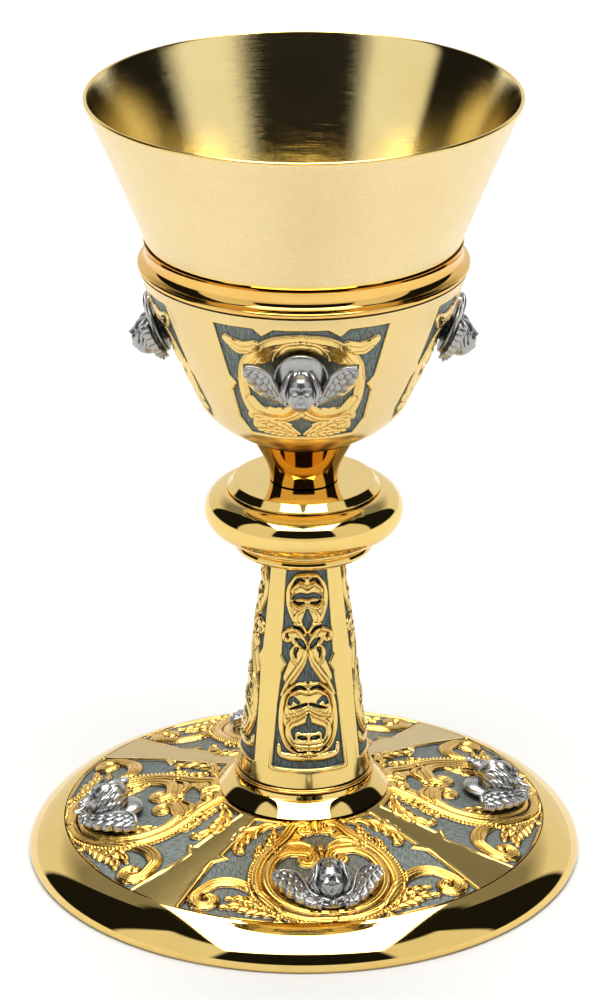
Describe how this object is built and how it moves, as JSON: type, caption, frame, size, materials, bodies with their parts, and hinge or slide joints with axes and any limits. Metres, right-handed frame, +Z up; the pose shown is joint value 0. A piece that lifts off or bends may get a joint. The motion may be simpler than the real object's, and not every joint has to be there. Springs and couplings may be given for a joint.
{
  "type": "communion chalice",
  "caption": "Footed gilt communion chalice: a conical cup screwed into a chased bowl, on a ringed knop, a tapered stem and a round domed foot with silver cherub heads.",
  "frame": {"origin": "centre of the plane that the foot stands on", "axes": "+Z up along the chalice's axis to the rim; -Y faces the front panel of the bowl"},
  "size_m": [0.1398, 0.1398, 0.1999],
  "materials": {
    "brushed_gold": "gilt, turned brushing inside and satin outside",
    "satin_gold": "satin gilt with chased panels on an oxidised silver ground",
    "polished_gold": "mirror polished gilt",
    "antique_silver": "cast, silver plated and oxidised in the recesses",
    "steel": "turned steel, plain",
    "leather": "thin leather washer"
  },
  "bodies": {
    "stand": {"calyx": "satin_gold", "stem": "satin_gold", "foot": "satin_gold", "foot_border": "polished_gold", "calyx_lip": "polished_gold", "neck": "polished_gold", "knop_top_plate": "polished_gold", "knop_ring": "polished_gold", "knop_lower_plate": "polished_gold", "stem_bead": "polished_gold", "foot_collar": "polished_gold", "calyx_cherub_1": "antique_silver", "calyx_cherub_2": "antique_silver", "calyx_cherub_3": "antique_silver", "calyx_cherub_4": "antique_silver", "foot_cherub_1": "antique_silver", "foot_cherub_2": "antique_silver", "foot_cherub_3": "antique_silver", "foot_cherub_4": "antique_silver", "calyx_cherub_nut_1": "steel", "calyx_cherub_nut_2": "steel", "calyx_cherub_nut_3": "steel", "calyx_cherub_nut_4": "steel", "foot_cherub_nut_1": "steel", "foot_cherub_nut_2": "steel", "foot_cherub_nut_3": "steel", "foot_cherub_nut_4": "steel", "cup_coupling": "steel", "tie_rod": "steel", "foot_washer": "steel", "foot_nut": "steel"},
    "seal": {"cup_seal": "leather"},
    "cup": {"cup": "brushed_gold", "cup_stud": "steel"}
  },
  "joints": [
    {"name": "cup_lift", "type": "slide", "parent": "stand", "child": "seal", "axis": [0, 0, 1], "range_m": [0, 0.0063]},
    {"name": "cup_turn", "type": "hinge", "parent": "seal", "child": "cup", "pos_m": [0, 0, 0.159], "axis": [0, 0, 1], "range_deg": [0, 1800]}
  ],
  "couplings": [
    {"joint": "cup_lift", "follows": "cup_turn", "m_per_rad": 0.00019894}
  ]
}
